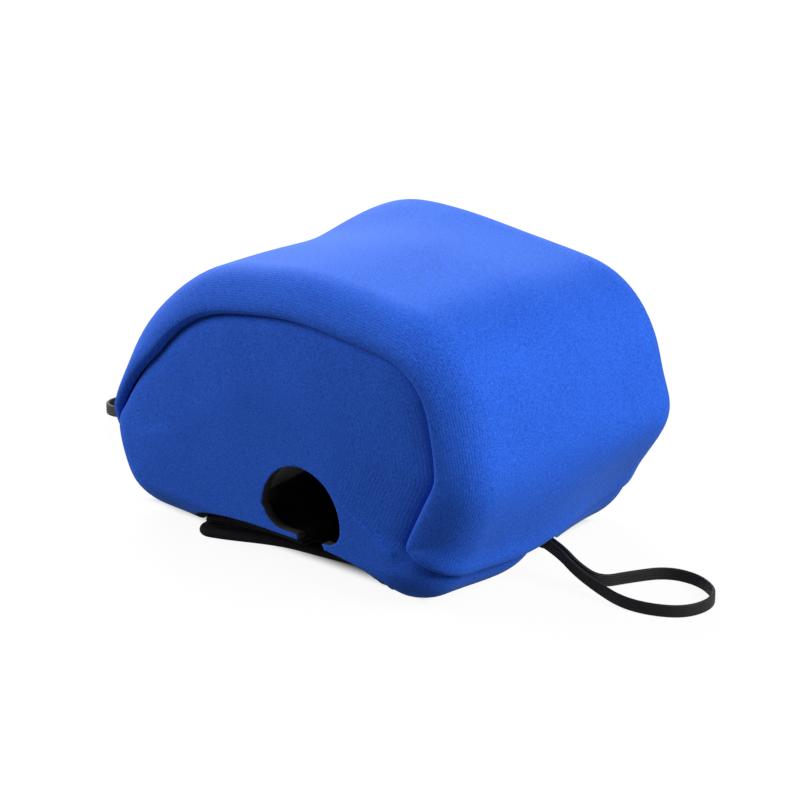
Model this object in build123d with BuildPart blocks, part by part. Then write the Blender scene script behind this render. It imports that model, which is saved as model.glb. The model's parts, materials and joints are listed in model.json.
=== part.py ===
from build123d import *
import os
from math import asin, atan2, cos, degrees, dist, pi, sin, tan

# Slip-over neoprene cover for a low-profile fishing reel. All sizes in millimetres.
# The front panel faces -Y, the reel's handle side is +X and its palm side is -X.
# z = 0 is the surface that the cover stands on.

# ---- Driving dimensions: the D-shaped cross-section, by its corners before rounding ----------------
handle_foot_reach = 47.5
handle_knee_reach = 64.0
handle_knee_height = 33.5
handle_shoulder_reach = 55.0
handle_shoulder_height = 71.5
crown_offset = 4.0
crown_height = 76.5
palm_shoulder_reach = 46.0
palm_shoulder_height = 68.0
palm_knee_reach = 64.0
palm_knee_height = 24.0
palm_foot_reach = 54.0
foot_radius = 16.0
knee_radius = 18.0
# How much of the shorter side beside each upper corner its rounding takes up
handle_shoulder_share = 0.5
crown_share = 0.25
palm_shoulder_share = 0.6

# ---- Depth, sheet and the stuffed rims at both ends --------------------------------------------------
body_depth = 86.5
sheet = 2.5  # neoprene sheet with knit on both faces
front_roll = 9.5
rear_roll = 14.0
bevel_share = 0.7  # inner bevel behind each roll, as a share of the roll left inside the sheet

# ---- Seams between the three panels -----------------------------------------------------------
seam_land = 0.5  # flat rim of the saddle between its roll and the seam
handle_seam_height = 10.5  # the saddle's lower edge at either wall
palm_seam_height = 20.0
seam_overlap = 2.0  # how far the region inside a seam outline runs below the saddle's lower edge
seam_gap = 0.15

# ---- Closure: a flap under the mouth, held to the front hem by hook and loop tape -----------------------
flap_sheet = 2.5
flap_side_clearance = 2.0
flap_overhang = 1.2  # how far its palm-side front corner shows past the front panel
flap_setback = 8.0  # how far its handle-side front corner stays behind the front panel's face
flap_corner = 5.0
hinge_gap = 0.3
tape_thickness = 1.6
tape_width = 11.0
tape_margin = 1.5
tape_gap = 0.3
facing_sheet = 2.5
facing_setback = 1.0
facing_depth = 13.0

# ---- Mouth along the underside, and the arch in the front panel's hem -----------------------------
mouth_rear = 24.0
mouth_rear_width = 80.0
mouth_side_cut = 0.5
arch_offset = 3.5
arch_width = 71.0
arch_radius = 6.0

# ---- Half-round line hole and the slit below it -----------------------------------------------------
hole_offset = 8.0
hole_width = 26.0
hole_height = 17.8
hole_base = 10.2
hole_corner = 3.5
slit_offset = 1.5
slit_width = 5.0
slit_flare = 4.5

# ---- Elastic pull loops at both side anchors -----------------------------------------------------
elastic_width = 3.2
elastic_thickness = 1.0
strand_gap = 0.4
anchor_offset = -3.5
tail_length = 7.0
tail_gap = 0.3
loop_start_gap = 0.3
loop_rest_gap = 0.1
arc_share = 0.45  # share of the shorter run that each arc takes up

# Route of each loop from its anchor: reach outward, then lateral to the left as one looks outward.
# The first and last points lie on the middle of the two strands of the leg.
strand_side = (elastic_thickness + strand_gap) / 2
right_route = [
    (0, strand_side),
    (9.5, 1.1),
    (19, 0.8),
    (25.5, 8.5),
    (34, 15.5),
    (42, 15),
    (46.8, 8.5),
    (45.5, 1),
    (38.5, -5),
    (29, -5.6),
    (19.5, -0.9),
    (10, -0.4),
    (0, -strand_side),
]
left_route = [
    (0, strand_side),
    (9.5, 0.9),
    (18.5, 1.9),
    (27.5, 2.2),
    (36, 0.8),
    (44, -2.8),
    (49.5, -9),
    (48.5, -16),
    (41.5, -18.2),
    (34, -14),
    (27, -8),
    (19, -2.6),
    (10, -0.9),
    (0, -strand_side),
]

# ---- Places worked out from the sizes above ------------------------------------------------------
front_face = -body_depth / 2
rear_face = body_depth / 2
front_seam_inset = front_roll + seam_land
rear_seam_inset = rear_roll + seam_land
front_roll_line = front_face + front_roll
rear_roll_line = rear_face - rear_roll
hook_base = flap_sheet
loop_tape_base = hook_base + tape_thickness + tape_gap
facing_base = loop_tape_base + tape_thickness
arch_height = facing_base + facing_sheet
mouth_front_left = arch_offset - arch_width / 2
mouth_front_right = arch_offset + arch_width / 2
facing_front = front_face + facing_setback
tape_rear = facing_front + tape_margin + tape_width
leg_width = 2 * elastic_thickness + strand_gap
mouth_pinch = leg_width + 2 * tail_gap
hole_left = hole_offset - hole_width / 2
hole_right = hole_offset + hole_width / 2
hole_spring = hole_base + hole_height - hole_width / 2  # where the round top begins
slit_top = hole_base + hole_corner
slit_left = hole_offset + slit_offset - slit_width / 2
slit_right = slit_left + slit_width
beyond = 2.0  # how far a cutting solid runs past what it cuts


def corner_radius(before, corner, after, share):
    """Radius of a corner's arc that takes up a share of the shorter side beside it."""
    heading_in = atan2(corner[1] - before[1], corner[0] - before[0])
    heading_out = atan2(after[1] - corner[1], after[0] - corner[0])
    turn = abs((heading_out - heading_in + pi) % (2 * pi) - pi)
    return share * min(dist(before, corner), dist(corner, after)) / tan(turn / 2)


def profile_corners():
    """Corners of the cross-section, anticlockwise from the handle side's foot, with their radii."""
    handle_foot = (handle_foot_reach, 0)
    handle_knee = (handle_knee_reach, handle_knee_height)
    handle_shoulder = (handle_shoulder_reach, handle_shoulder_height)
    crown = (crown_offset, crown_height)
    palm_shoulder = (-palm_shoulder_reach, palm_shoulder_height)
    palm_knee = (-palm_knee_reach, palm_knee_height)
    palm_foot = (-palm_foot_reach, 0)
    corners = [
        handle_foot, handle_knee, handle_shoulder, crown, palm_shoulder, palm_knee, palm_foot
    ]
    radii = [
        foot_radius,
        knee_radius,
        corner_radius(handle_knee, handle_shoulder, crown, handle_shoulder_share),
        corner_radius(handle_shoulder, crown, palm_shoulder, crown_share),
        corner_radius(crown, palm_shoulder, palm_knee, palm_shoulder_share),
        knee_radius,
        foot_radius,
    ]
    return corners, radii


def walls_at(height):
    """Where the outer walls stand at a height: palm side, then handle side."""
    points, radii = profile_corners()
    with BuildSketch() as band:
        with BuildLine():
            FilletPolyline(*points, radius=radii, close=True)
        make_face()
        with Locations((0, height)):
            Rectangle(4 * handle_knee_reach, seam_gap, mode=Mode.INTERSECT)
    bounds = band.sketch.bounding_box()
    return bounds.min.X, bounds.max.X


def profile_prism(inset, near, far):
    """The cross-section drawn in by an inset and extruded from y = near to y = far."""
    points, radii = profile_corners()
    with BuildPart() as prism:
        with BuildSketch(Plane.XZ.offset(-near)):
            with BuildLine():
                FilletPolyline(*points, radius=radii, close=True)
            make_face()
            if inset > 0:
                offset(amount=-inset)
        extrude(amount=near - far)
    return prism.part


def panel_prism(inset, near, far):
    """The region inside a seam outline, carried down past the saddle's lower edge."""
    drop = max(0, inset - handle_seam_height) + seam_overlap
    with BuildPart() as region:
        add(profile_prism(inset, near, far))
        with Locations((0, 0, -drop)):
            add(profile_prism(inset, near, far))
    return region.part


def stuffed_form():
    """The outer form, with its front and rear rims rolled."""
    with BuildPart() as form:
        add(profile_prism(0, front_face, rear_face))
        fillet(form.faces().sort_by(Axis.Y)[0].edges(), radius=front_roll)
        fillet(form.faces().sort_by(Axis.Y)[-1].edges(), radius=rear_roll)
    return form.part


def hollow_form():
    """The space inside the sheet, with its front and rear rims bevelled."""
    with BuildPart() as form:
        add(profile_prism(sheet, front_face + sheet, rear_face - sheet))
        chamfer(
            form.faces().sort_by(Axis.Y)[0].edges(), length=bevel_share * (front_roll - sheet)
        )
        chamfer(
            form.faces().sort_by(Axis.Y)[-1].edges(), length=bevel_share * (rear_roll - sheet)
        )
    return form.part


def slit_cut(near, far):
    """The slit from the line hole down through the hem, wider towards the handle side."""
    with BuildPart() as cut:
        with BuildSketch(Plane.XZ.offset(-near)):
            with BuildLine():
                Polyline(
                    (slit_left, slit_top),
                    (slit_left, 0),
                    (slit_right + slit_flare, 0),
                    (slit_right + slit_flare, arch_height),
                    (slit_right, slit_top),
                    close=True,
                )
            make_face()
        extrude(amount=near - far)
    return cut.part


# ---- The plane of the saddle's lower edges, tilted so that it meets both walls at their seam heights ----
palm_wall = walls_at(palm_seam_height)[0]
handle_wall = walls_at(handle_seam_height)[1]
seam_tilt = atan2(handle_seam_height - palm_seam_height, handle_wall - palm_wall)
seam_plane = Plane(
    origin=(handle_wall, 0, handle_seam_height),
    x_dir=(cos(seam_tilt), 0, sin(seam_tilt)),
    z_dir=(-sin(seam_tilt), 0, cos(seam_tilt)),
)


def below_seam(clearance):
    """All the space under the saddle's lower edges, down past the surface it stands on."""
    with BuildPart() as space:
        with BuildSketch(Plane.XY.offset(-beyond)):
            Rectangle(4 * handle_knee_reach, body_depth + 2 * beyond)
        extrude(amount=beyond + crown_height)
        split(bisect_by=seam_plane.offset(-clearance), keep=Keep.BOTTOM)
    return space.part


# ---- Mouth between the two side anchors, open from below ------------------------------------------------
with BuildPart() as mouth:
    with BuildSketch(Plane.XY.offset(-beyond)):
        with BuildLine():
            Polyline(
                (mouth_front_left, front_roll_line),
                (mouth_front_right, front_roll_line),
                (handle_wall + mouth_side_cut, anchor_offset - mouth_pinch / 2),
                (handle_wall + mouth_side_cut, anchor_offset + mouth_pinch / 2),
                (mouth_rear_width / 2, mouth_rear),
                (-mouth_rear_width / 2, mouth_rear),
                (palm_wall - mouth_side_cut, anchor_offset + mouth_pinch / 2),
                (palm_wall - mouth_side_cut, anchor_offset - mouth_pinch / 2),
                close=True,
            )
        make_face()
    extrude(amount=beyond + crown_height)
    add(below_seam(0), mode=Mode.INTERSECT)

# ---- Shell: the three panels still in one piece ------------------------------------------------------
with BuildPart() as shell:
    add(stuffed_form())
    add(hollow_form(), mode=Mode.SUBTRACT)
    add(mouth.part, mode=Mode.SUBTRACT)

# ---- Saddle: one strip over the top and down both sides -------------------------------------------
with BuildPart() as saddle:
    add(shell.part)
    add(
        panel_prism(front_seam_inset, front_face - beyond, front_roll_line + beyond),
        mode=Mode.SUBTRACT,
    )
    add(
        panel_prism(rear_seam_inset, rear_roll_line - beyond, rear_face + beyond),
        mode=Mode.SUBTRACT,
    )
    split(bisect_by=seam_plane, keep=Keep.TOP)
saddle.part.label = "saddle"

# ---- Region of each end panel: inside the seam outline, and below the saddle's lower edge -----------
with BuildPart() as end_regions:
    add(panel_prism(front_seam_inset + seam_gap, front_face - beyond, front_roll_line + beyond))
    add(panel_prism(rear_seam_inset + seam_gap, rear_roll_line - beyond, rear_face + beyond))
    add(below_seam(seam_gap))

# ---- Front panel, with the arched hem, the line hole and the slit --------------------------------------
with BuildPart() as front_panel:
    add(shell.part)
    add(end_regions.part, mode=Mode.INTERSECT)
    split(bisect_by=Plane.XZ.offset(-anchor_offset), keep=Keep.TOP)
    # Arch in the hem, where the closure passes under
    with BuildSketch(Plane.XZ.offset(-front_face + beyond)):
        with Locations((arch_offset, 0)):
            arch = Rectangle(arch_width, 2 * arch_height)
        fillet(arch.vertices(), radius=arch_radius)
    extrude(amount=-(front_roll + beyond + seam_gap), mode=Mode.SUBTRACT)
    # Half-round hole
    with BuildSketch(Plane.XZ.offset(-front_face + beyond)) as hole:
        with BuildLine():
            Polyline(
                (hole_left, hole_spring),
                (hole_left, hole_base),
                (hole_right, hole_base),
                (hole_right, hole_spring),
            )
            ThreePointArc(
                (hole_right, hole_spring),
                (hole_offset, hole_base + hole_height),
                (hole_left, hole_spring),
            )
        make_face()
        fillet(hole.vertices().group_by(Axis.Y)[0], radius=hole_corner)
    extrude(amount=-(beyond + front_roll), mode=Mode.SUBTRACT)
    add(slit_cut(front_face - beyond, front_roll_line), mode=Mode.SUBTRACT)
front_panel.part.label = "front_panel"

# ---- Rear panel: it carries the cover's flat foot ------------------------------------------------------
with BuildPart() as rear_panel:
    add(shell.part)
    add(end_regions.part, mode=Mode.INTERSECT)
    split(bisect_by=Plane.XZ.offset(-anchor_offset), keep=Keep.BOTTOM)
rear_panel.part.label = "rear_panel"

# ---- Facing sewn under the arched hem, cut through by the slit --------------------------------------------
with BuildPart() as front_facing:
    with BuildSketch(Plane.XZ.offset(-facing_front)):
        with Locations((arch_offset, 0)):
            hem = Rectangle(arch_width - 2 * seam_gap, 2 * arch_height)
        fillet(hem.vertices(), radius=arch_radius)
        with Locations((arch_offset, facing_base)):
            Rectangle(
                arch_width, facing_sheet, align=(Align.CENTER, Align.MIN), mode=Mode.INTERSECT
            )
    extrude(amount=-facing_depth)
    add(slit_cut(facing_front - beyond, facing_front + facing_depth + beyond), mode=Mode.SUBTRACT)
front_facing.part.label = "front_facing"

# ---- Loop tape under the facing --------------------------------------------------------------------
tape_length = arch_width - 2 * (flap_side_clearance + tape_margin)
with BuildPart() as loop_strip:
    with BuildSketch(Plane.XY.offset(loop_tape_base)):
        with Locations((arch_offset, tape_rear)):
            Rectangle(tape_length, tape_width, align=(Align.CENTER, Align.MAX))
    extrude(amount=tape_thickness)
    add(slit_cut(facing_front - beyond, tape_rear + beyond), mode=Mode.SUBTRACT)
loop_strip.part.label = "loop_strip"

# ---- Closure flap: hinged along the mouth's rear edge, with a slanted front edge -----------------------
flap_left = mouth_front_left + flap_side_clearance
flap_right = mouth_front_right - flap_side_clearance
flap_rear = mouth_rear - hinge_gap
flap_rear_side = mouth_rear_width / 2 - flap_side_clearance
with BuildPart() as closure_flap:
    with BuildSketch() as flap_outline:
        with BuildLine():
            Polyline(
                (flap_left, front_face - flap_overhang),
                (flap_right, front_face + flap_setback),
                (flap_rear_side, flap_rear),
                (-flap_rear_side, flap_rear),
                close=True,
            )
        make_face()
        fillet(flap_outline.vertices().sort_by(Axis.Y)[:2], radius=flap_corner)
    extrude(amount=flap_sheet)
closure_flap.part.label = "closure_flap"

# ---- Hook tape on the flap, along its front edge -------------------------------------------------------
with BuildPart() as hook_strip:
    with BuildSketch(Plane.XY.offset(hook_base)) as hook_outline:
        with BuildLine():
            Polyline(
                (flap_left + tape_margin, front_face - flap_overhang + 2 * tape_margin),
                (flap_right - tape_margin, front_face + flap_setback + 2 * tape_margin),
                (flap_right - tape_margin, tape_rear),
                (flap_left + tape_margin, tape_rear),
                close=True,
            )
        make_face()
        fillet(hook_outline.vertices().sort_by(Axis.Y)[:2], radius=tape_margin)
    extrude(amount=tape_thickness)
hook_strip.part.label = "hook_strip"


def arc_radii(route):
    """The radius of each corner's arc along a route."""
    return [
        corner_radius(before, corner, after, arc_share)
        for before, corner, after in zip(route, route[1:], route[2:])
    ]


def pull_loop(name, side, wall, seam_height, route):
    """A doubled elastic that leaves its anchor on edge and droops to the surface at its far end."""
    reach = max(outward for outward, lateral in route) + elastic_thickness / 2
    anchor_height = seam_height - tail_gap - elastic_width / 2
    droop = asin((anchor_height - elastic_width / 2 - loop_rest_gap) / reach)
    start_gap = loop_start_gap + elastic_width / 2 * sin(droop)
    anchor = Plane(
        origin=(wall + side * start_gap, anchor_offset, anchor_height),
        x_dir=(side * cos(droop), 0, -sin(droop)),
        z_dir=(side * sin(droop), 0, cos(droop)),
    )
    radii = arc_radii(route)
    with BuildPart() as loop:
        with BuildSketch(anchor):
            with BuildLine() as centreline:
                FilletPolyline(*route, radius=radii)
            trace(line_width=elastic_thickness)
        extrude(amount=elastic_width / 2, both=True)
    length = sum(edge.length for edge in centreline.edges())
    volume = elastic_width * elastic_thickness * length
    print(name, "arc radii", [round(radius, 1) for radius in radii])
    print(name, f"length {length:.1f} droop {degrees(droop):.2f} degrees, start {start_gap:.3f}")
    print(name, f"volume {loop.part.volume:.1f}, section times length {volume:.1f}")
    loop.part.label = name
    return loop.part


def loop_tail(name, side, wall, seam_height):
    """The two sewn-in ends of a pull loop, caught under the saddle's lower edge."""
    with BuildPart() as tail:
        with BuildSketch(Plane.XY.offset(seam_height - tail_gap - elastic_width)):
            with Locations((wall - side * tail_length / 2, anchor_offset)):
                Rectangle(tail_length, leg_width)
        extrude(amount=elastic_width)
    tail.part.label = name
    return tail.part


pieces = [
    saddle.part,
    front_panel.part,
    rear_panel.part,
    front_facing.part,
    loop_strip.part,
    closure_flap.part,
    hook_strip.part,
    loop_tail("right_loop_tail", 1, handle_wall, handle_seam_height),
    loop_tail("left_loop_tail", -1, palm_wall, palm_seam_height),
    pull_loop("right_pull_loop", 1, handle_wall, handle_seam_height, right_route),
    pull_loop("left_pull_loop", -1, palm_wall, palm_seam_height, left_route),
]

os.makedirs("parts", exist_ok=True)
for piece in pieces:
    export_step(piece, f"parts/{piece.label}.step")
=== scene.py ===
import json
import math

import bpy
import numpy as np
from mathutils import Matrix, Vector
from mathutils.bvhtree import BVHTree

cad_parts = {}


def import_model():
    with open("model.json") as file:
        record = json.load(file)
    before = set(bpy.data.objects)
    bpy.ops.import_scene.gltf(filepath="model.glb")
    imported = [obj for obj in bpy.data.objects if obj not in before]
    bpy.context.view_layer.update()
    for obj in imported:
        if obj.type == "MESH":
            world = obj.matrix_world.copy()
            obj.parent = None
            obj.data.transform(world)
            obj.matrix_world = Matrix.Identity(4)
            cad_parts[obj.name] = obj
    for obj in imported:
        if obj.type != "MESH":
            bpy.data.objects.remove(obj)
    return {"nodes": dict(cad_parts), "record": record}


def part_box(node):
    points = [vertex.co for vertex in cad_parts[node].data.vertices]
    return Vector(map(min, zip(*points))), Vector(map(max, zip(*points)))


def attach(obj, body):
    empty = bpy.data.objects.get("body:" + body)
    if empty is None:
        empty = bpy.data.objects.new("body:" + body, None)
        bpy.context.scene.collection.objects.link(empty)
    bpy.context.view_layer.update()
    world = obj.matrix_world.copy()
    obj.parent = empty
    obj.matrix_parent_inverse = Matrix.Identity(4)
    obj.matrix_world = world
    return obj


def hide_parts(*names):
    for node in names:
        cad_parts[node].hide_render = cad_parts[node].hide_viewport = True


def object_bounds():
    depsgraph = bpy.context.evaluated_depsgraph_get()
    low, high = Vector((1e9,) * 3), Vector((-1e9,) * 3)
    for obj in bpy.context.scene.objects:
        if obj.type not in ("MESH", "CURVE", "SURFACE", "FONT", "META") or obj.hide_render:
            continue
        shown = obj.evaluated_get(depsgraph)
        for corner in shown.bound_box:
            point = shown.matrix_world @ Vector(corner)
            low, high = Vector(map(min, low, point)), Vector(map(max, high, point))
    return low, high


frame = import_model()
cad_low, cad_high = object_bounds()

# A soft neoprene cover for a low-profile fishing reel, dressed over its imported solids.
# Lengths are in metres, in the frame's axes: the front panel faces -Y and the handle side is +X.

mm = 0.001

# ---- Read from the frame ---------------------------------------------------------------------
saddle_low, saddle_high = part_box("saddle")
flap_low, flap_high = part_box("closure_flap")
facing_low, facing_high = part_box("front_facing")
loop_tape_low, loop_tape_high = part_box("loop_strip")
hook_tape_low, hook_tape_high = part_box("hook_strip")
right_tail_low, right_tail_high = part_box("right_loop_tail")
left_tail_low, left_tail_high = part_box("left_loop_tail")
mounts = {mount["name"]: mount for mount in frame["record"]["mounts"]}
front_face = saddle_low.y
rear_face = saddle_high.y
tail_gap = 0.3 * mm  # between a loop's tail and the saddle's lower edge
handle_seam_height = right_tail_high.z + tail_gap
palm_seam_height = left_tail_high.z + tail_gap
hem_height = facing_high.z
arch_middle = (facing_low.x + facing_high.x) / 2
anchor_y = (right_tail_low.y + right_tail_high.y) / 2
handle_wall = right_tail_high.x
palm_wall = left_tail_low.x
mouth_rear = flap_high.y
hole_x = mounts["line_hole"]["pos_m"][0]

# ---- Sheet, rolls, mouth and slit, as in the solids ------------------------------------------
sheet = 2.5 * mm
front_roll = 9.5 * mm
rear_roll = 14 * mm
seam_land = 0.5 * mm
mouth_front_half = 35.5 * mm
mouth_rear_half = 40 * mm
mouth_pinch = 3 * mm
mouth_side_cut = 0.5 * mm
hole_width = 26 * mm
hole_height = 17.8 * mm
slit_offset = 1.5 * mm
slit_width = 5 * mm
slit_flare = 4.5 * mm
front_roll_line = front_face + front_roll
rear_roll_line = rear_face - rear_roll

# ---- Line hole, where the cloth departs from the solids --------------------------------------
hole_base = 11 * mm
hole_corner = 4.5 * mm
hole_left_corner = 7 * mm
hole_shift = 1.2 * mm  # the cloth carries the hole a little towards the handle side

# ---- Soft form: how the stuffed cover departs from its solids --------------------------------
outline_rays = 1440
outline_points = 2400
outline_softness = 3.5 * mm
followed_inset = 14 * mm  # how far in the outline's normals are followed, before its bends fold
face_length = 30 * mm  # the rest of the way to each end face's middle
seam_spread = 5 * mm  # how far from a seam the form's grid stays fine
grid_samples = 6000
seam_corner = 1.6 * mm
lip_overhang = 0.9 * mm
lip_radius = 1.8 * mm
lip_drop = 2.0 * mm
lip_rise = 1.0 * mm
rear_lip_share = 0.35
lip_change = 20 * mm  # how far behind the middle the lip falls to its rear share
panel_tuck = 1.6 * mm
panel_tuck_slope = 1.2
panel_dip = 2.9 * mm
rear_panel_dip = 1.2 * mm
panel_dip_width = 1.9 * mm
face_dome = 1.6 * mm
face_dome_reach = 22 * mm
palm_drift = 7 * mm  # how far the front seam swings round towards the palm side's lower corner
palm_drift_span = 40 * mm
palm_end_drift = 4 * mm  # a further swing over its last stretch
palm_end_span = 12 * mm
handle_drift = 2.2 * mm  # how far the front seam is drawn in below the handle side's knee
handle_drift_height = 19 * mm
handle_drift_width = 27 * mm
hem_rise = 1.2 * mm
hem_depth = 1 * mm  # how far the arch's cut runs in past the front roll

# ---- Closure: flap, facing and tapes ---------------------------------------------------------
flap_sheet = flap_high.z - flap_low.z
facing_sheet = facing_high.z - facing_low.z
cloth_slack = 0.3 * mm  # how much thinner the flap and facing are than their solids
closure_gap = 0.15 * mm
tape_margin = 1.5 * mm
flap_corner = 5 * mm
flap_rear_corner = 1 * mm
flap_slant = 9.2 * mm  # from its palm-side front corner back to its handle-side one
flap_lift = 3.1 * mm
flap_lift_start = -31 * mm  # along X, beside the palm-side corner
flap_lift_span = 34 * mm
flap_ease = 0.45  # the share of the lift that is lost again towards the handle side
flap_ease_start = 20 * mm
flap_ease_span = 20 * mm
flap_lift_front = 4 * mm  # how far in front of y = 0 the lift begins
flap_lift_depth = 30 * mm
facing_sink = 0.4 * mm
facing_fall = 6.2 * mm  # how far the facing follows the hem down at the arch's ends
facing_fall_depth = 2 * mm  # behind its front edge, where it stops following the hem in full
facing_fall_span = 6 * mm
facing_end = 3.2 * mm  # how far short of the arch's ends it stops
facing_corner = 2 * mm
facing_fray = 0.06 * mm
hook_corner = 1.5 * mm
loop_corner = 1 * mm
edge_rings = 5  # round each cloth's edge
face_rings = 22  # from there to the middle of each of its faces

# ---- Elastic pull loops ----------------------------------------------------------------------
elastic_width = 3.2 * mm
elastic_thickness = 1.0 * mm
strand_gap = 0.4 * mm
elastic_ribs = 5
elastic_valley = 0.74  # thickness between two ribs, as a share of the full thickness
elastic_squareness = 9
elastic_step = 0.45 * mm
section_points = 41
tail_points = 16

# The points of each route's spline, in mm: outward from the wall, to the left as one looks
# outward, and up from the surface that the cover stands on
right_route = [
    (0, 0.7, 8.6),
    (5.5, -0.9, 8.2),
    (11, -1.3, 5.2),
    (16, 0.8, 2.3),
    (18.5, 9, 1.7),
    (23.5, 17.5, 1.7),
    (32, 19, 1.7),
    (40, 15, 1.7),
    (43, 8.5, 1.7),
    (41, 1, 1.7),
    (34, -3.2, 1.7),
    (26, -4.2, 1.7),
    (17.5, -2.2, 2.3),
    (11, -2.9, 5.2),
    (5.5, -2.3, 8.2),
    (0, -0.7, 8.6),
]
left_route = [
    (0, 0.7, 18.1),
    (9, 0.9, 16.4),
    (18, 1.9, 12.6),
    (27, 2.2, 8.4),
    (36, 0.8, 5.2),
    (44, -2.8, 3.4),
    (48.5, -9, 2.2),
    (47, -16, 1.8),
    (40, -18.2, 1.9),
    (33, -14, 3.4),
    (26, -8, 7.2),
    (18, -2.6, 12.2),
    (9, -0.9, 16.4),
    (0, -0.7, 18.1),
]

# ---- Looks -----------------------------------------------------------------------------------
# Noise scales are per metre, and tones are shares of the step between a material's two colours
rib_pitch = 0.7 * mm
rib_wander = 9.0  # in radians of the ribs' wave
rib_wander_scale = 90
rib_tone = 0.10
rib_relief = 0.5
heather_scale = 2300
heather_tone = 2.3
heather_relief = 2.5
cloud_scale = 60
cloud_tone = 0.35
saddle_ribbed = 0.2  # how far the ribs show away from the front roll, where they show in full
saddle_ribs_start = 10 * mm
saddle_ribs_span = 12 * mm
panel_ribbed = 0.1  # how far they show away from the front panel's handle end
panel_ribs_start = 12 * mm
panel_ribs_span = 16 * mm
rear_panel_ribbed = 0.4
knit_relief_depth = 0.09 * mm
foam_relief_depth = 0.3 * mm
weave_pitch = 0.45 * mm
weave_relief = 0.4
weave_relief_depth = 0.08 * mm
fuzz_scale = 2500
cell_contrast = 2.2
floor_glow = 0.93
sky_fill = 0.1  # the background's strength as a light, where its strength as a picture is 1


# ---- Small helpers ---------------------------------------------------------------------------
def slope(value, start, span):
    """A smooth rise from 0 to 1 over a span that begins at start."""
    share = np.clip((value - start) / span, 0, 1)
    return share * share * (3 - 2 * share)


def hill(value, centre, width):
    return np.exp(-(((value - centre) / width) ** 2))


def interpolated(at, lengths, rows):
    return np.column_stack([np.interp(at, lengths, column) for column in rows.T])


def even_ring(points, count=None, step=None):
    """Even points round a closed outline, by count or about a step apart, and its length."""
    closed = np.vstack([points, points[:1]])
    lengths = np.r_[0, np.cumsum(np.hypot(*np.diff(closed, axis=0).T))]
    total = lengths[-1]
    at = np.linspace(0, total, count or int(total / step), endpoint=False)
    return interpolated(at, lengths, closed), total


def tube_faces(rows, around):
    """Faces of a closed tube: rings of points one after another, with a cap at either end."""
    faces = []
    for row in range(rows - 1):
        low, high = row * around, (row + 1) * around
        for k in range(around):
            after = (k + 1) % around
            faces.append([low + k, low + after, high + after, high + k])
    last = (rows - 1) * around
    faces.append(list(range(around))[::-1])
    faces.append([last + k for k in range(around)])
    return faces


def new_object(name, points, faces, materials, **attributes):
    mesh = bpy.data.meshes.new(name)
    mesh.from_pydata(np.asarray(points).tolist(), [], faces)
    mesh.validate()
    for material in materials:
        mesh.materials.append(material)
    for key, value in attributes.items():
        layer = mesh.attributes.new(key, "FLOAT", "POINT")
        layer.data.foreach_set("value", np.asarray(value, np.float32))
    mesh.shade_smooth()
    piece = bpy.data.objects.new(name, mesh)
    bpy.context.scene.collection.objects.link(piece)
    return piece


def dress(piece, body, node):
    """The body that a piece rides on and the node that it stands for."""
    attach(piece, body)
    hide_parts(node)


def aimed(name, data, location, direction):
    """A camera or lamp in the scene, which looks along a direction."""
    item = bpy.data.objects.new(name, data)
    item.location = location
    item.rotation_mode = "QUATERNION"
    item.rotation_quaternion = direction.to_track_quat("-Z", "Y")
    bpy.context.scene.collection.objects.link(item)
    return item


def camera():
    """The photograph's viewpoint: from the front and the handle side, a little above."""
    azimuth, elevation = math.radians(41.5), math.radians(20.0)
    level = math.cos(elevation)
    back = Vector((math.sin(azimuth) * level, -math.cos(azimuth) * level, math.sin(elevation)))
    target = Vector((-1.15 * mm, 0, 34 * mm))
    distance = 0.75
    view_width = 203.6 * mm
    data = bpy.data.cameras.new("camera")
    data.sensor_width = 36
    data.lens = data.sensor_width * distance / view_width
    data.shift_x, data.shift_y = 0.0118, -0.0115
    data.clip_start, data.clip_end = 0.01, 10
    bpy.context.scene.camera = aimed("camera", data, target + back * distance, -back)


camera()


# ---- Materials -------------------------------------------------------------------------------
class Look:
    """A node tree, and short ways to add to it. Inputs are sockets, plain numbers or colours."""

    def __init__(self, tree):
        self.nodes, self.links = tree.nodes, tree.links

    def feed(self, socket, value):
        if isinstance(value, bpy.types.NodeSocket):
            self.links.new(value, socket)
        elif isinstance(value, tuple):
            socket.default_value = (*value, 1)
        else:
            socket.default_value = value

    def math(self, operation, *values):
        node = self.nodes.new("ShaderNodeMath")
        node.operation = operation
        for socket, value in zip(node.inputs, values):
            self.feed(socket, value)
        return node.outputs[0]

    def total(self, start, *terms):
        """A starting value and weighted sockets, added up."""
        for socket, weight in terms:
            start = self.math("ADD", start, self.math("MULTIPLY", socket, weight))
        return start

    def mix(self, factor, low, high):
        node = self.nodes.new("ShaderNodeMix")
        node.data_type = "RGBA"
        self.feed(node.inputs["Factor"], factor)
        self.feed(node.inputs[6], low)
        self.feed(node.inputs[7], high)
        return node.outputs[2]

    def place(self):
        return self.nodes.new("ShaderNodeTexCoord").outputs["Object"]

    def attribute(self, name):
        node = self.nodes.new("ShaderNodeAttribute")
        node.attribute_name = name
        return node.outputs["Fac"]

    def noise(self, scale, detail):
        node = self.nodes.new("ShaderNodeTexNoise")
        node.inputs["Scale"].default_value = scale
        node.inputs["Detail"].default_value = detail
        self.links.new(self.place(), node.inputs["Vector"])
        return node.outputs["Fac"]

    def bump(self, height, distance, strength):
        node = self.nodes.new("ShaderNodeBump")
        node.inputs["Distance"].default_value = distance
        node.inputs["Strength"].default_value = strength
        self.links.new(height, node.inputs["Height"])
        return node.outputs["Normal"]

    def background_ray(self):
        """1 for rays that show the background: camera, reflected and transmitted rays."""
        path = self.nodes.new("ShaderNodeLightPath").outputs
        seen = self.math("MAXIMUM", path["Is Camera Ray"], path["Is Glossy Ray"])
        return self.math("MAXIMUM", seen, path["Is Transmission Ray"])


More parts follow.
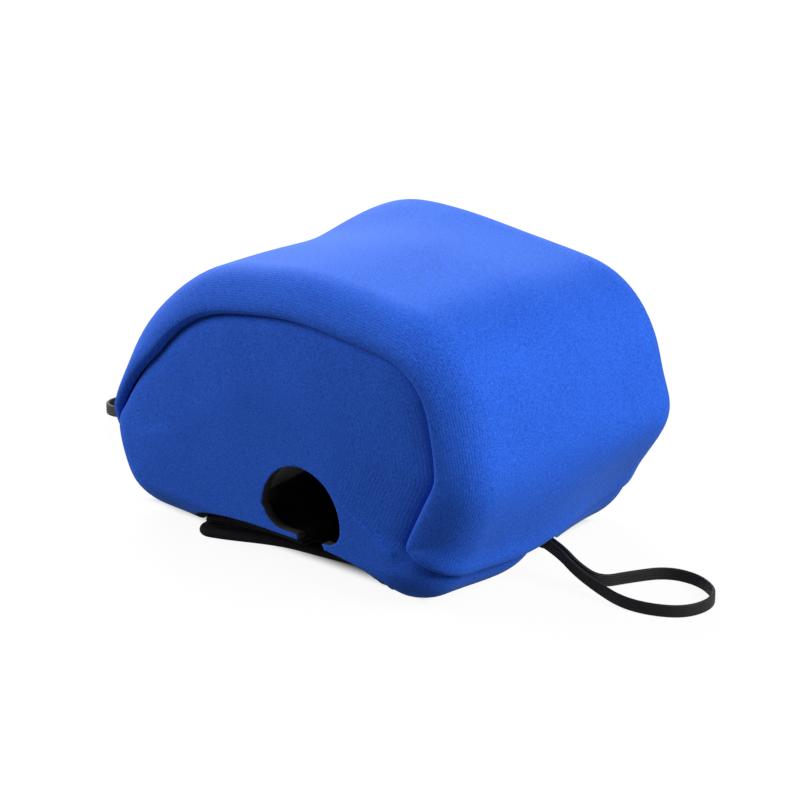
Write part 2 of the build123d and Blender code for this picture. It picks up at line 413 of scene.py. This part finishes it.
def new_material(name):
    material = bpy.data.materials.new(name)
    material.use_nodes = True
    tree = material.node_tree
    return material, Look(tree), tree.nodes["Principled BSDF"]


def knit(name, colour, deep):
    """Nylon jersey bonded to foam: fine ribs along the knit and a heathered surface."""
    material, look, shader = new_material(name)
    wander = look.noise(rib_wander_scale, 2)
    phase = look.math("MULTIPLY", look.attribute("rib"), 2 * math.pi / rib_pitch)
    wave = look.math("SINE", look.total(phase, (wander, rib_wander)))
    wave = look.math("MULTIPLY", wave, look.attribute("ribbed"))
    speckle = look.noise(heather_scale, 3)
    heather = look.math("SUBTRACT", speckle, 0.5)
    cloud = look.math("SUBTRACT", look.noise(cloud_scale, 3), 0.5)
    tone = look.total(0.5, (wave, rib_tone), (heather, heather_tone), (cloud, cloud_tone))
    relief = look.total(0, (wave, rib_relief), (speckle, heather_relief))
    look.feed(shader.inputs["Base Color"], look.mix(tone, deep, colour))
    look.feed(shader.inputs["Normal"], look.bump(relief, knit_relief_depth, 0.3))
    shader.inputs["Roughness"].default_value = 0.82
    shader.inputs["Specular IOR Level"].default_value = 0.12
    shader.inputs["Sheen Weight"].default_value = 0.12
    shader.inputs["Sheen Roughness"].default_value = 0.5
    shader.inputs["Sheen Tint"].default_value = (0.3, 0.6, 1.0, 1)
    return material


def foam(name, colour, cell_scale, shine):
    """Closed-cell foam on a cut edge, or a dull black cloth."""
    material, look, shader = new_material(name)
    cells = look.noise(cell_scale, 4)
    pale = tuple(channel * cell_contrast for channel in colour)
    look.feed(shader.inputs["Base Color"], look.mix(cells, colour, pale))
    look.feed(shader.inputs["Normal"], look.bump(cells, foam_relief_depth, 0.6))
    shader.inputs["Roughness"].default_value = 0.9
    shader.inputs["Specular IOR Level"].default_value = shine
    return material


def elastic():
    """Flat braided elastic: lengthwise ribs come from the mesh, the cross weave from here."""
    material, look, shader = new_material("black_elastic")
    phase = look.math("MULTIPLY", look.attribute("along"), 2 * math.pi / weave_pitch)
    fuzz = look.noise(fuzz_scale, 2)
    relief = look.total(fuzz, (look.math("SINE", phase), weave_relief))
    colour = look.mix(fuzz, (0.006, 0.006, 0.007), (0.02, 0.02, 0.022))
    look.feed(shader.inputs["Base Color"], colour)
    look.feed(shader.inputs["Normal"], look.bump(relief, weave_relief_depth, 0.4))
    shader.inputs["Roughness"].default_value = 0.55
    shader.inputs["Specular IOR Level"].default_value = 0.12
    return material


blue_knit = knit("blue_knit", (0.026, 0.146, 0.80), (0.011, 0.060, 0.42))
black_lining = foam("black_lining", (0.004, 0.004, 0.007), 900, 0.02)
cut_foam = foam("cut_foam", (0.012, 0.012, 0.013), 1400, 0.2)
black_cloth = foam("black_cloth", (0.006, 0.006, 0.008), 2200, 0.06)
tape_cloth = foam("tape_cloth", (0.006, 0.006, 0.006), 3200, 0.06)
black_elastic = elastic()


# ---- Elastic: pull loops along their routes, and the tails that are sewn in ------------------
def smooth_line(control_points, step):
    """Even points along the spline that has these control points, and the length at each."""
    curve = bpy.data.curves.new("route", "CURVE")
    curve.dimensions = "3D"
    spline = curve.splines.new("NURBS")
    spline.points.add(len(control_points) - 1)
    for point, place in zip(spline.points, control_points):
        point.co = (*place, 1)
    spline.order_u = 3
    spline.use_endpoint_u = True
    spline.resolution_u = 24
    holder = bpy.data.objects.new("route", curve)
    mesh = bpy.data.meshes.new_from_object(holder)
    line = np.array([vertex.co for vertex in mesh.vertices])
    bpy.data.meshes.remove(mesh)
    bpy.data.objects.remove(holder)
    bpy.data.curves.remove(curve)
    lengths = np.r_[0, np.cumsum(np.linalg.norm(np.diff(line, axis=0), axis=1))]
    at = np.linspace(0, lengths[-1], int(lengths[-1] / step) + 1)
    return interpolated(at, lengths, line), at


def elastic_section():
    """Steps up and to the side round a flat braid, with lengthwise ribs on both its faces."""
    across_braid = np.sin(np.linspace(-math.pi / 2, math.pi / 2, section_points))
    ribs = np.abs(np.sin(math.pi * elastic_ribs * (across_braid + 1) / 2))
    face = elastic_valley + (1 - elastic_valley) * ribs
    face = face * np.sqrt(1 - np.abs(across_braid) ** elastic_squareness)
    wide = np.r_[across_braid, across_braid[-2:0:-1]] * elastic_width / 2
    thick = np.r_[face, -face[-2:0:-1]] * elastic_thickness / 2
    return wide, thick


def braid(name, line, along):
    """A flat braid that stands on edge along a line."""
    tangent = np.gradient(line, axis=0)
    tangent /= np.linalg.norm(tangent, axis=1)[:, None]
    up = np.array((0, 0, 1))
    side = np.cross(up, tangent)
    side /= np.linalg.norm(side, axis=1)[:, None]
    wide, thick = elastic_section()
    upward = wide[None, :, None] * up[None, None, :]
    points = line[:, None, :] + upward + thick[None, :, None] * side[:, None, :]
    faces = tube_faces(len(line), len(wide))
    along = np.repeat(along, len(wide))
    return new_object(name, points.reshape(-1, 3), faces, [black_elastic], along=along)


def pull_loop(node, side, route, body):
    """One elastic loop, from its anchor down to the surface that the cover stands on."""
    anchor = Vector(mounts[body]["pos_m"])
    control_points = [
        (anchor.x + side * out * mm, anchor.y + side * left * mm, height * mm)
        for out, left, height in route
    ]
    line, along = smooth_line(control_points, elastic_step)
    piece = braid(f"{node}_braid", line, along)
    dress(piece, body, node)


def loop_tail(node, low, high):
    """The two ends of a pull loop, side by side where they are sewn in."""
    middle = (low + high) / 2
    along = np.linspace(0, high.x - low.x, tail_points)
    level = np.full(tail_points, middle.z)
    for name, sign in (("a", -1), ("b", 1)):
        y = middle.y + sign * (elastic_thickness + strand_gap) / 2
        line = np.column_stack([low.x + along, np.full(tail_points, y), level])
        dress(braid(f"{node}_{name}", line, along), "cover", node)


pull_loop("right_pull_loop", 1, right_route, "right_pull")
pull_loop("left_pull_loop", -1, left_route, "left_pull")
loop_tail("right_loop_tail", right_tail_low, right_tail_high)
loop_tail("left_loop_tail", left_tail_low, left_tail_high)


# ---- Outline of the cover, seen along Y ------------------------------------------------------
def packed_outline():
    """The solids' outline just behind the mouth, from the bottom round the handle side."""
    trees = []
    for name in ("saddle", "rear_panel"):
        mesh = frame["nodes"][name].data
        corners = [vertex.co for vertex in mesh.vertices]
        trees.append(BVHTree.FromPolygons(corners, [face.vertices[:] for face in mesh.polygons]))
    middle = Vector((0, (mouth_rear + rear_roll_line) / 2, saddle_high.z / 2))
    points = []
    for angle in np.linspace(-math.pi / 2, 1.5 * math.pi, outline_rays, endpoint=False):
        out = Vector((math.cos(angle), 0, math.sin(angle)))
        hits = [tree.ray_cast(middle + out * cad_high.x, -out) for tree in trees]
        first = min((hit for hit in hits if hit[0]), key=lambda hit: hit[3])
        points.append((first[0].x, first[0].z))
    return np.array(points)


class Outline:
    """A closed outline made smooth, with its even points and the length around it at each."""

    def __init__(self, points, softness):
        dense, total = even_ring(points, outline_points)
        step = total / outline_points
        distance = (np.arange(outline_points) * step + total / 2) % total
        weights = np.exp(-0.5 * ((distance - total / 2) / softness) ** 2)
        weights = np.fft.fft(weights / weights.sum())
        soft = np.fft.ifft(np.fft.fft(dense, axis=0) * weights[:, None], axis=0).real
        self.points, self.length = even_ring(soft, outline_points)
        self.around = np.arange(outline_points) * self.length / outline_points

    def place(self, s):
        closed = np.vstack([self.points, self.points[:1]])
        return interpolated(s, np.r_[self.around, self.length], closed)

    def at(self, s):
        """Points and outward normals at lengths s around the outline."""
        reach = 1.5 * mm
        tangent = self.place((s + reach) % self.length) - self.place((s - reach) % self.length)
        tangent /= np.linalg.norm(tangent, axis=1)[:, None]
        return self.place(s), np.column_stack([tangent[:, 1], -tangent[:, 0]])

    def where_height(self, height, handle_side):
        """The length at which one side's wall passes a height."""
        half = outline_points // 2
        order = range(half) if handle_side else range(2 * half - 1, half, -1)
        return next(self.around[k] for k in order if self.points[k, 1] > height)


outline = Outline(packed_outline(), outline_softness)
handle_seam = outline.where_height(handle_seam_height, True)
drawn_in = outline.where_height(handle_drift_height, True)
palm_seam = outline.where_height(palm_seam_height, False)


# ---- Distances to the seam, the mouth, the hem and the line hole -----------------------------
def seam_across(roll_line, roll):
    return abs(roll_line) + roll * math.pi / 2 + seam_land


front_seam = seam_across(front_roll_line, front_roll)
rear_seam = seam_across(rear_roll_line, rear_roll)


def box_distance(x, y, half_x, half_y, radius):
    """Signed distance to a rounded rectangle about the origin."""
    qx = np.abs(x) - half_x + radius
    qy = np.abs(y) - half_y + radius
    outside = np.hypot(np.maximum(qx, 0), np.maximum(qy, 0))
    return outside + np.minimum(np.maximum(qx, qy), 0) - radius


def seam_depth(s, w):
    """Distance in from the saddle's seam, negative on the end panels."""
    s_middle, s_half = (handle_seam + palm_seam) / 2, (palm_seam - handle_seam) / 2
    w_middle, w_half = (rear_seam - front_seam) / 2, (rear_seam + front_seam) / 2
    drift = palm_drift * slope(s, palm_seam - palm_drift_span, palm_drift_span)
    drift += palm_end_drift * slope(s, palm_seam - palm_end_span, palm_end_span)
    drift = (drift - handle_drift * hill(s, drawn_in, handle_drift_width)) * (w < 0)
    return -box_distance(s - s_middle, w - drift - w_middle, s_half, w_half, seam_corner)


def polygon_distance(x, y, corners):
    """Signed distance to a polygon."""
    nearest = np.full(x.shape, 1e9)
    inside = np.zeros(x.shape, bool)
    for (ax, ay), (bx, by) in zip(corners, corners[1:] + corners[:1]):
        ex, ey = bx - ax, by - ay
        share = np.clip(((x - ax) * ex + (y - ay) * ey) / (ex * ex + ey * ey), 0, 1)
        nearest = np.minimum(nearest, np.hypot(x - ax - share * ex, y - ay - share * ey))
        crosses = (ay > y) != (by > y)
        across_edge = ex / ey if ey else 0
        inside ^= crosses & (x < ax + (y - ay) * across_edge)
    return np.where(inside, -nearest, nearest)


def mouth_distance(x, y):
    """Signed distance to the mouth's outline, seen from above."""
    handle_x, palm_x = handle_wall + mouth_side_cut, palm_wall - mouth_side_cut
    corners = [
        (arch_middle - mouth_front_half, front_roll_line),
        (arch_middle + mouth_front_half, front_roll_line),
        (handle_x, anchor_y - mouth_pinch / 2),
        (handle_x, anchor_y + mouth_pinch / 2),
        (mouth_rear_half, mouth_rear),
        (-mouth_rear_half, mouth_rear),
        (palm_x, anchor_y + mouth_pinch / 2),
        (palm_x, anchor_y - mouth_pinch / 2),
    ]
    return polygon_distance(x, y, corners)


def hem_curve(x):
    """Height of the front panel's arched hem."""
    share = np.clip(np.abs(x - arch_middle) / mouth_front_half, 0, 1)
    return (hem_height + hem_rise) * np.sqrt(1 - share**3)


slit_left = hole_x + slit_offset - slit_width / 2
slit_right = slit_left + slit_width
slit_foot = slit_right + slit_flare


def hole_distance(x, z):
    """Signed distance to the half-round line hole and its slit, seen from the front."""
    x = x - hole_shift
    aside = np.abs(x - hole_x)
    radius = hole_width / 2
    spring = hole_base + hole_height - radius
    disc = np.hypot(x - hole_x, z - spring) - radius
    corner = np.where(x < hole_x, hole_left_corner, hole_corner)
    centre_x, centre_z = radius - corner, hole_base + corner
    round_corner = np.hypot(aside - centre_x, z - centre_z) - corner
    in_corner = (aside > centre_x) & (z < centre_z)
    straight = np.maximum(aside - radius, hole_base - z)
    half_round = np.where(z > spring, disc, np.where(in_corner, round_corner, straight))
    top = hole_base + hole_corner
    slit = [
        (slit_left, top),
        (slit_left, 0),
        (slit_foot, 0),
        (slit_foot, hem_height),
        (slit_right, top),
    ]
    return np.minimum(half_round, polygon_distance(x, z, slit))


# ---- The stuffed form: s is the length around it, and w the length across it from y = 0 ------
class Sheet:
    """A mesh as arrays, which can be cut along a line where a value is zero."""

    def __init__(self, points, faces, **values):
        self.points = points
        self.faces = faces
        self.values = values

    def cut(self, level, keep_negative=True):
        """Keeps the side where level is negative (or positive), with a clean edge along zero."""
        level = np.where(np.abs(level) < 1e-9, 1e-9, level)
        if not keep_negative:
            level = -level
        new_points, new_values = [], {key: [] for key in self.values}
        made = {}
        count = len(self.points)

        def crossing(a, b):
            key = (min(a, b), max(a, b))
            if key not in made:
                share = level[a] / (level[a] - level[b])
                new_points.append(self.points[a] + share * (self.points[b] - self.points[a]))
                for name, value in self.values.items():
                    new_values[name].append(value[a] + share * (value[b] - value[a]))
                made[key] = count + len(new_points) - 1
            return made[key]

        kept = []
        inside = level < 0
        for face in self.faces:
            flags = [inside[v] for v in face]
            if all(flags):
                kept.append(face)
                continue
            if not any(flags):
                continue
            ring = []
            for k, vertex in enumerate(face):
                after = face[(k + 1) % len(face)]
                if inside[vertex]:
                    ring.append(vertex)
                if inside[vertex] != inside[after]:
                    ring.append(crossing(vertex, after))
            if len(ring) > 2:
                kept.append(ring)
        points = np.vstack([self.points, np.array(new_points).reshape(-1, 3)])
        used = np.unique(np.concatenate([np.array(face) for face in kept]))
        index = np.full(len(points), -1)
        index[used] = np.arange(len(used))
        faces = [[int(index[v]) for v in face] for face in kept]
        values = {
            key: np.concatenate([value, np.array(new_values[key])])[used]
            for key, value in self.values.items()
        }
        return Sheet(points[used], faces, **values)


def vertex_normals(points, faces):
    """Area-weighted normals of a mesh given as arrays."""
    normals = np.zeros_like(points)
    quads = np.array([face for face in faces if len(face) == 4])
    a, b, c, d = (points[quads[:, k]] for k in range(4))
    facing = np.cross(c - a, d - b)
    for k in range(4):
        np.add.at(normals, quads[:, k], facing)
    for face in faces:
        if len(face) == 3:
            corners = points[face]
            normals[face] += np.cross(corners[1] - corners[0], corners[2] - corners[0])
    return normals / np.maximum(np.linalg.norm(normals, axis=1), 1e-12)[:, None]


def spaced(start, stop, coarse, fine, centres):
    """Values from start to stop, closer together near each centre."""
    steps = np.linspace(start, stop, grid_samples)
    near = np.zeros_like(steps)
    for centre in centres:
        near = np.maximum(near, hill(steps, centre, seam_spread))
    density = 1 / coarse + (1 / fine - 1 / coarse) * near
    total = np.r_[0, np.cumsum((density[1:] + density[:-1]) / 2 * np.diff(steps))]
    return np.interp(np.linspace(0, total[-1], int(total[-1]) + 1), total, steps)


def across(w, roll_line, roll, face):
    """Depth, inset and share of the way to the face's middle, at a length w on one half."""
    bend = roll * math.pi / 2
    straight = abs(roll_line)
    sign = math.copysign(1, roll_line)
    if w <= straight:
        return sign * w, 0, 0
    if w <= straight + bend:
        turn = (w - straight) / roll
        return sign * (straight + roll * math.sin(turn)), roll * (1 - math.cos(turn)), 0
    inset = roll + w - straight - bend
    inward = max(0, inset - followed_inset) / face_length
    return face, min(inset, followed_inset), min(1, inward)


def half_length(roll_line, roll):
    """Length across one half of the form, from y = 0 to the end face's middle."""
    return abs(roll_line) + roll * (math.pi / 2 - 1) + followed_inset + face_length


def stuffed_form():
    """The whole outer form as one grid, from the front face's middle to the rear face's middle."""
    fine, coarse = 0.45 * mm, 1.1 * mm
    s_values = spaced(0, outline.length, coarse, fine, (handle_seam, palm_seam))[:-1]
    front_end = half_length(front_roll_line, front_roll)
    rear_end = half_length(rear_roll_line, rear_roll)
    front_w = spaced(-front_end, 0, coarse, fine, (-front_seam,))
    rear_w = spaced(0, rear_end, coarse, fine, (rear_seam,))
    w_values = np.r_[front_w[1:], rear_w[1:-1]]
    profile, out = outline.at(s_values)
    middle = profile.mean(axis=0)
    rows = []
    for w in w_values:
        if w <= 0:
            y, inset, inward = across(-w, front_roll_line, front_roll, front_face)
        else:
            y, inset, inward = across(w, rear_roll_line, rear_roll, rear_face)
        ring = profile - out * inset
        ring = ring + (middle - ring) * inward
        rows.append(np.column_stack([ring[:, 0], np.full(len(ring), y), ring[:, 1]]))
    poles = [[middle[0], face, middle[1]] for face in (front_face, rear_face)]
    points = np.vstack([*rows, poles])
    around = len(s_values)
    last = (len(w_values) - 1) * around
    faces = [[face[0], *face[:0:-1]] for face in tube_faces(len(w_values), around)[:-2]]
    for k in range(around):
        after = (k + 1) % around
        faces.append([len(points) - 2, k, after])
        faces.append([len(points) - 1, last + after, last + k])
    s_all = np.r_[np.tile(s_values, len(w_values)), 0, 0]
    w_all = np.r_[np.repeat(w_values, around), -front_end, rear_end]
    nx, ny, nz = vertex_normals(points, faces).T
    seam = seam_depth(s_all, w_all)
    return Sheet(points, faces, w=w_all, seam=seam, nx=nx, ny=ny, nz=nz)


def soft_shift(points):
    """How the stuffed cover departs from its solids, in hills and slopes over x, y and z in mm."""
    x, y, z = points.T / mm
    upper = slope(z, 30, 30)
    rear = slope(y, -5, 35)
    handle = slope(x, 25, 30)
    # The crown humps at the rear, dips before that, and falls towards both sides
    up = 2.6 * upper * hill(y, 27, 16) * hill(x, -27, 24)
    up -= 1.1 * upper * hill(y, 2, 15) * hill(x, -32, 22)
    up -= 3.0 * upper * rear * slope(x, -24, 40)
    up -= 1.2 * upper * slope(-x, 25, 20)
    # The handle side is drawn in at the rear: the shoulder, the knee and the lower corner
    lower = 1 - slope(z, 8, 30)
    out = -1.8 * upper * rear * handle
    out -= 1.1 * hill(z, 42, 9) * rear * handle
    out -= 2.6 * lower * rear * slope(x, 20, 30)
    up += 1.6 * lower * rear * slope(x, 34, 22)
    # It is fuller in front of the pull loop
    full = (1 - slope(z, 12, 24)) * slope(x, 36, 14) * hill(y, -14, 16)
    out += 1.2 * full
    up -= 1.3 * full
    # The front hem lifts a little at the palm side
    up += 1.8 * (1 - slope(z, 4, 18)) * slope(-y, 18, 14) * hill(x, -40, 18)
    return np.column_stack([out, np.zeros_like(out), up]) * mm


form = stuffed_form()


# ---- The three neoprene panels ---------------------------------------------------------------
def displaced(part, shape):
    """A cut sheet moved along the form's normals by shape(seam depth), then by the soft shift."""
    normals = np.column_stack([part.values[key] for key in ("nx", "ny", "nz")])
    moved = part.points + normals * shape(part.values["seam"])[:, None]
    return moved + soft_shift(part.points)


def neoprene(node, part, points, rib, ribbed):
    """One panel with its thickness: knit outside, black lining inside, foam at its cut edges."""
    materials = [blue_knit, black_lining, cut_foam]
    piece = new_object(f"{node}_cover", points, part.faces, materials, rib=rib, ribbed=ribbed)
    thickness = piece.modifiers.new("thickness", "SOLIDIFY")
    thickness.thickness = sheet
    thickness.offset = -1
    thickness.material_offset = 1
    thickness.material_offset_rim = 2
    thickness.use_rim = True
    dress(piece, "cover", node)


def lip_height(depth):
    """How the saddle's edge swells and then rolls under, at a distance in from the edge."""
    share = np.clip(depth / lip_radius, 0, 1)
    roll = lip_drop * (1 - np.sqrt(np.maximum(0, 1 - (1 - share) ** 2)))
    return lip_rise * hill(depth, lip_radius, 2 * lip_radius) - roll


def panel_height(seam, dip):
    """How an end panel dips on its way under the saddle's rolled edge."""
    near = np.exp(-np.maximum(-seam, 0) / panel_dip_width)
    return -dip * near - panel_tuck_slope * np.maximum(seam, 0)


def dome(part, sign):
    """How far an end panel bulges out, where it faces front (sign -1) or rear (sign 1)."""
    facing = np.clip(sign * part.values["ny"], 0, 1) ** 4
    return sign * face_dome * facing * slope(-part.values["seam"], 0, face_dome_reach)


def saddle():
    part = form.cut(form.values["seam"] + lip_overhang, keep_negative=False)
    w = part.values["w"]
    share = 1 - (1 - rear_lip_share) * slope(w, 0, lip_change)
    points = displaced(part, lambda seam: lip_height(seam + lip_overhang) * share)
    near_roll = slope(-w, abs(front_roll_line) - saddle_ribs_start, saddle_ribs_span)
    neoprene("saddle", part, points, w, saddle_ribbed + (1 - saddle_ribbed) * near_roll)


def front_panel():
    part = form.cut(form.values["seam"] - panel_tuck)
    part = part.cut(part.points[:, 1] - anchor_y)
    x, y, z = part.points.T
    arch = np.maximum(z - hem_curve(x), y - front_roll_line - hem_depth)
    part = part.cut(np.minimum(mouth_distance(x, y), arch), keep_negative=False)
    x, y, z = part.points.T
    opening = np.where(y < front_roll_line, hole_distance(x, z), 1)
    part = part.cut(opening, keep_negative=False)
    points = displaced(part, lambda seam: panel_height(seam, panel_dip))
    points[:, 1] += dome(part, -1)
    handle_end = slope(part.points[:, 0], panel_ribs_start, panel_ribs_span)
    ribbed = panel_ribbed + (1 - panel_ribbed) * handle_end
    neoprene("front_panel", part, points, part.values["w"], ribbed)


def rear_panel():
    part = form.cut(form.values["seam"] - panel_tuck)
    part = part.cut(part.points[:, 1] - anchor_y, keep_negative=False)
    x, y, z = part.points.T
    part = part.cut(mouth_distance(x, y), keep_negative=False)
    points = displaced(part, lambda seam: panel_height(seam, rear_panel_dip))
    points[:, 1] += dome(part, 1)
    ribbed = np.full(len(points), rear_panel_ribbed)
    neoprene("rear_panel", part, points, part.points[:, 0], ribbed)


saddle()
front_panel()
rear_panel()


# ---- Closure: the flap drawn up to the hem, the facing above it, and the tapes between them --
def rounded(corners, radii):
    """A closed outline through corners, each rounded by its radius, as points anticlockwise."""
    step = 0.6 * mm
    points = []
    for k, radius in enumerate(radii):
        corner = Vector(corners[k])
        to_before = (Vector(corners[k - 1]) - corner).normalized()
        to_after = (Vector(corners[(k + 1) % len(corners)]) - corner).normalized()
        half = to_before.angle(to_after) / 2
        middle = corner + (to_before + to_after).normalized() * radius / math.sin(half)
        start = corner + to_before * radius / math.tan(half) - middle
        turn = math.pi - 2 * half
        for angle in np.linspace(0, turn, max(3, int(radius * turn / step))):
            cos, sin = math.cos(angle), math.sin(angle)
            x = middle.x + start.x * cos - start.y * sin
            points.append((x, middle.y + start.x * sin + start.y * cos))
    return even_ring(np.array(points), step=step)[0]


def rectangle(left, right, front, rear, radius):
    corners = [(left, front), (right, front), (right, rear), (left, rear)]
    return rounded(corners, [radius] * 4)


def soft_slab(name, edge_line, bottom, top, material, ragged=0.0):
    """A closed sheet with rounded edges, whose faces' heights are functions of x and y."""
    tangent = np.roll(edge_line, -1, axis=0) - np.roll(edge_line, 1, axis=0)
    tangent /= np.linalg.norm(tangent, axis=1)[:, None]
    inward = np.column_stack([-tangent[:, 1], tangent[:, 0]])
    around = np.arange(len(edge_line))
    fray = np.sin(around * 1.7) + np.sin(around * 0.61 + 2) + np.sin(around * 0.23) + 3
    edge_line = edge_line + inward * ragged * fray[:, None]
    middle = edge_line.mean(axis=0)
    half = np.mean(top(*edge_line.T) - bottom(*edge_line.T)) / 2
    # Rings from the edge inward, each with its share of the way from the sheet's middle to a face
    rings = []
    for turn in np.linspace(0, math.pi / 2, edge_rings):
        rings.append((edge_line + inward * half * (1 - math.cos(turn)), math.sin(turn)))
    inner = rings[-1][0]
    for share in np.linspace(0.94, 0.02, face_rings):
        rings.append((middle + (inner - middle) * share, 1))
    lower = [(ring, -rise) for ring, rise in rings[:0:-1]]
    points = []
    for ring, rise in lower + rings:
        low, high = bottom(*ring.T), top(*ring.T)
        z = (low + high) / 2 + rise * (high - low) / 2
        points.append(np.column_stack([ring, z]))
    faces = tube_faces(len(points), len(edge_line))
    return new_object(name, np.vstack(points), faces, [material])


def flap_bottom(x, y):
    """The flap is drawn up to the hem, most behind the slit, not at its palm-side corner."""
    side = slope(x, flap_lift_start, flap_lift_span)
    side -= flap_ease * slope(x, flap_ease_start, flap_ease_span)
    return flap_low.z + flap_lift * side * slope(-y, flap_lift_front, flap_lift_depth)


def flap_top(x, y):
    return flap_bottom(x, y) + flap_sheet - cloth_slack


def facing_top(x, y):
    """The facing follows the hem at its front edge and is level further in."""
    hem = hem_height + hem_rise
    level_from = facing_low.y + facing_fall_depth + facing_fall_span
    follow = slope(-y, -level_from, facing_fall_span)
    return hem - facing_sink - follow * np.minimum(hem - hem_curve(x), facing_fall)


def facing_bottom(x, y):
    return facing_top(x, y) - facing_sheet + cloth_slack


def hook_top(x, y):
    """The hook tape ends just below the middle between flap and facing."""
    return (flap_top(x, y) + facing_bottom(x, y)) / 2 - closure_gap


def loop_bottom(x, y):
    return hook_top(x, y) + 2 * closure_gap


def flap_and_hook_tape():
    front_right = flap_low.y + flap_slant
    flap_line = rounded(
        [
            (hook_tape_low.x - tape_margin, flap_low.y),
            (hook_tape_high.x + tape_margin, front_right),
            (flap_high.x, flap_high.y),
            (flap_low.x, flap_high.y),
        ],
        [flap_corner, flap_corner, flap_rear_corner, flap_rear_corner],
    )
    flap = soft_slab("closure_flap_cloth", flap_line, flap_bottom, flap_top, black_cloth)
    dress(flap, "flap", "closure_flap")
    hook_line = rounded(
        [
            (hook_tape_low.x, hook_tape_low.y),
            (hook_tape_high.x, front_right + 2 * tape_margin),
            (hook_tape_high.x, hook_tape_high.y),
            (hook_tape_low.x, hook_tape_high.y),
        ],
        [hook_corner] * 4,
    )
    hook = soft_slab("hook_tape_strip", hook_line, flap_top, hook_top, tape_cloth)
    dress(hook, "flap", "hook_strip")


def facing_and_loop_tape(side, left, right, tape_left, tape_right):
    """The facing and its tape on one side of the slit."""
    line = rectangle(left, right, facing_low.y, facing_high.y, facing_corner)
    name = f"front_facing_{side}"
    facing = soft_slab(name, line, facing_bottom, facing_top, black_cloth, facing_fray)
    dress(facing, "cover", "front_facing")
    line = rectangle(tape_left, tape_right, loop_tape_low.y, hook_tape_high.y, loop_corner)
    tape = soft_slab(f"loop_tape_{side}", line, loop_bottom, facing_bottom, tape_cloth)
    dress(tape, "cover", "loop_strip")


flap_and_hook_tape()
facing_and_loop_tape("palm", facing_low.x + facing_end, slit_left, loop_tape_low.x, slit_left)
facing_and_loop_tape("handle", slit_foot, facing_high.x - facing_end, slit_foot, loop_tape_high.x)


# ---- Floor, light and background -------------------------------------------------------------
# The middle and half-width along each axis of the patch of floor under the cover that is painted
# dark as shade
painted_shade_patch = (("X", -8 * mm, 48 * mm), ("Y", -2 * mm, 33 * mm))


def floor():
    bpy.ops.mesh.primitive_plane_add(size=6, location=(0, 0, 0))
    ground = bpy.context.object
    ground.name = "floor"
    material, look, shader = new_material("floor")
    shader.inputs["Roughness"].default_value = 0.9
    glow = look.nodes.new("ShaderNodeEmission")
    glow.inputs["Color"].default_value = (1, 1, 1, 1)
    place = look.nodes.new("ShaderNodeSeparateXYZ")
    look.feed(place.inputs[0], look.place())
    # The patch is painted shade: it has no glow and a near-black colour, so that nothing white
    # shows in the line hole, and its soft edge paints shadow at the cover's foot
    shares = []
    for axis, middle, half in painted_shade_patch:
        aside = look.math("ABSOLUTE", look.math("SUBTRACT", place.outputs[axis], middle))
        shares.append(look.math("DIVIDE", aside, half))
    fade = look.nodes.new("ShaderNodeMapRange")
    fade.interpolation_type = "SMOOTHSTEP"
    fade.inputs["From Min"].default_value = 0.85
    fade.inputs["From Max"].default_value = 1.05
    look.feed(fade.inputs["Value"], look.math("MAXIMUM", *shares))
    open_floor = fade.outputs["Result"]
    seen = look.math("MULTIPLY", look.background_ray(), open_floor)
    # Colour for the other rays, and for all rays in the patch: near black there as painted shade,
    # and dark grey elsewhere to keep the floor's bounce light low
    dim = look.mix(open_floor, (0.01, 0.01, 0.01), (0.12, 0.12, 0.12))
    look.feed(shader.inputs["Base Color"], look.mix(seen, dim, (0.95, 0.95, 0.95)))
    mix = look.nodes.new("ShaderNodeMixShader")
    look.feed(mix.inputs[0], look.math("MULTIPLY", seen, floor_glow))
    look.feed(mix.inputs[1], shader.outputs[0])
    look.feed(mix.inputs[2], glow.outputs[0])
    look.feed(look.nodes["Material Output"].inputs["Surface"], mix.outputs[0])
    ground.data.materials.append(material)


def lamp(name, location, power):
    data = bpy.data.lights.new(name, "AREA")
    data.shape = "DISK"
    data.size = 0.6
    data.energy = power
    target = Vector((0, 0, 30 * mm))
    aimed(name, data, location, target - Vector(location))


def world():
    sky = bpy.data.worlds.new("world")
    bpy.context.scene.world = sky
    sky.use_nodes = True
    look = Look(sky.node_tree)
    background = sky.node_tree.nodes["Background"]
    background.inputs["Color"].default_value = (1, 1, 1, 1)
    strength = look.math("MAXIMUM", look.background_ray(), sky_fill)
    look.feed(background.inputs["Strength"], strength)


floor()
lamp("key", (-0.73, 0.50, 0.50), 10.5)
lamp("handle_side", (0.82, 0.12, 0.58), 11.5)
lamp("palm_side", (-0.75, -0.50, 0.48), 7.5)
world()
bpy.context.scene.view_settings.view_transform = "Standard"
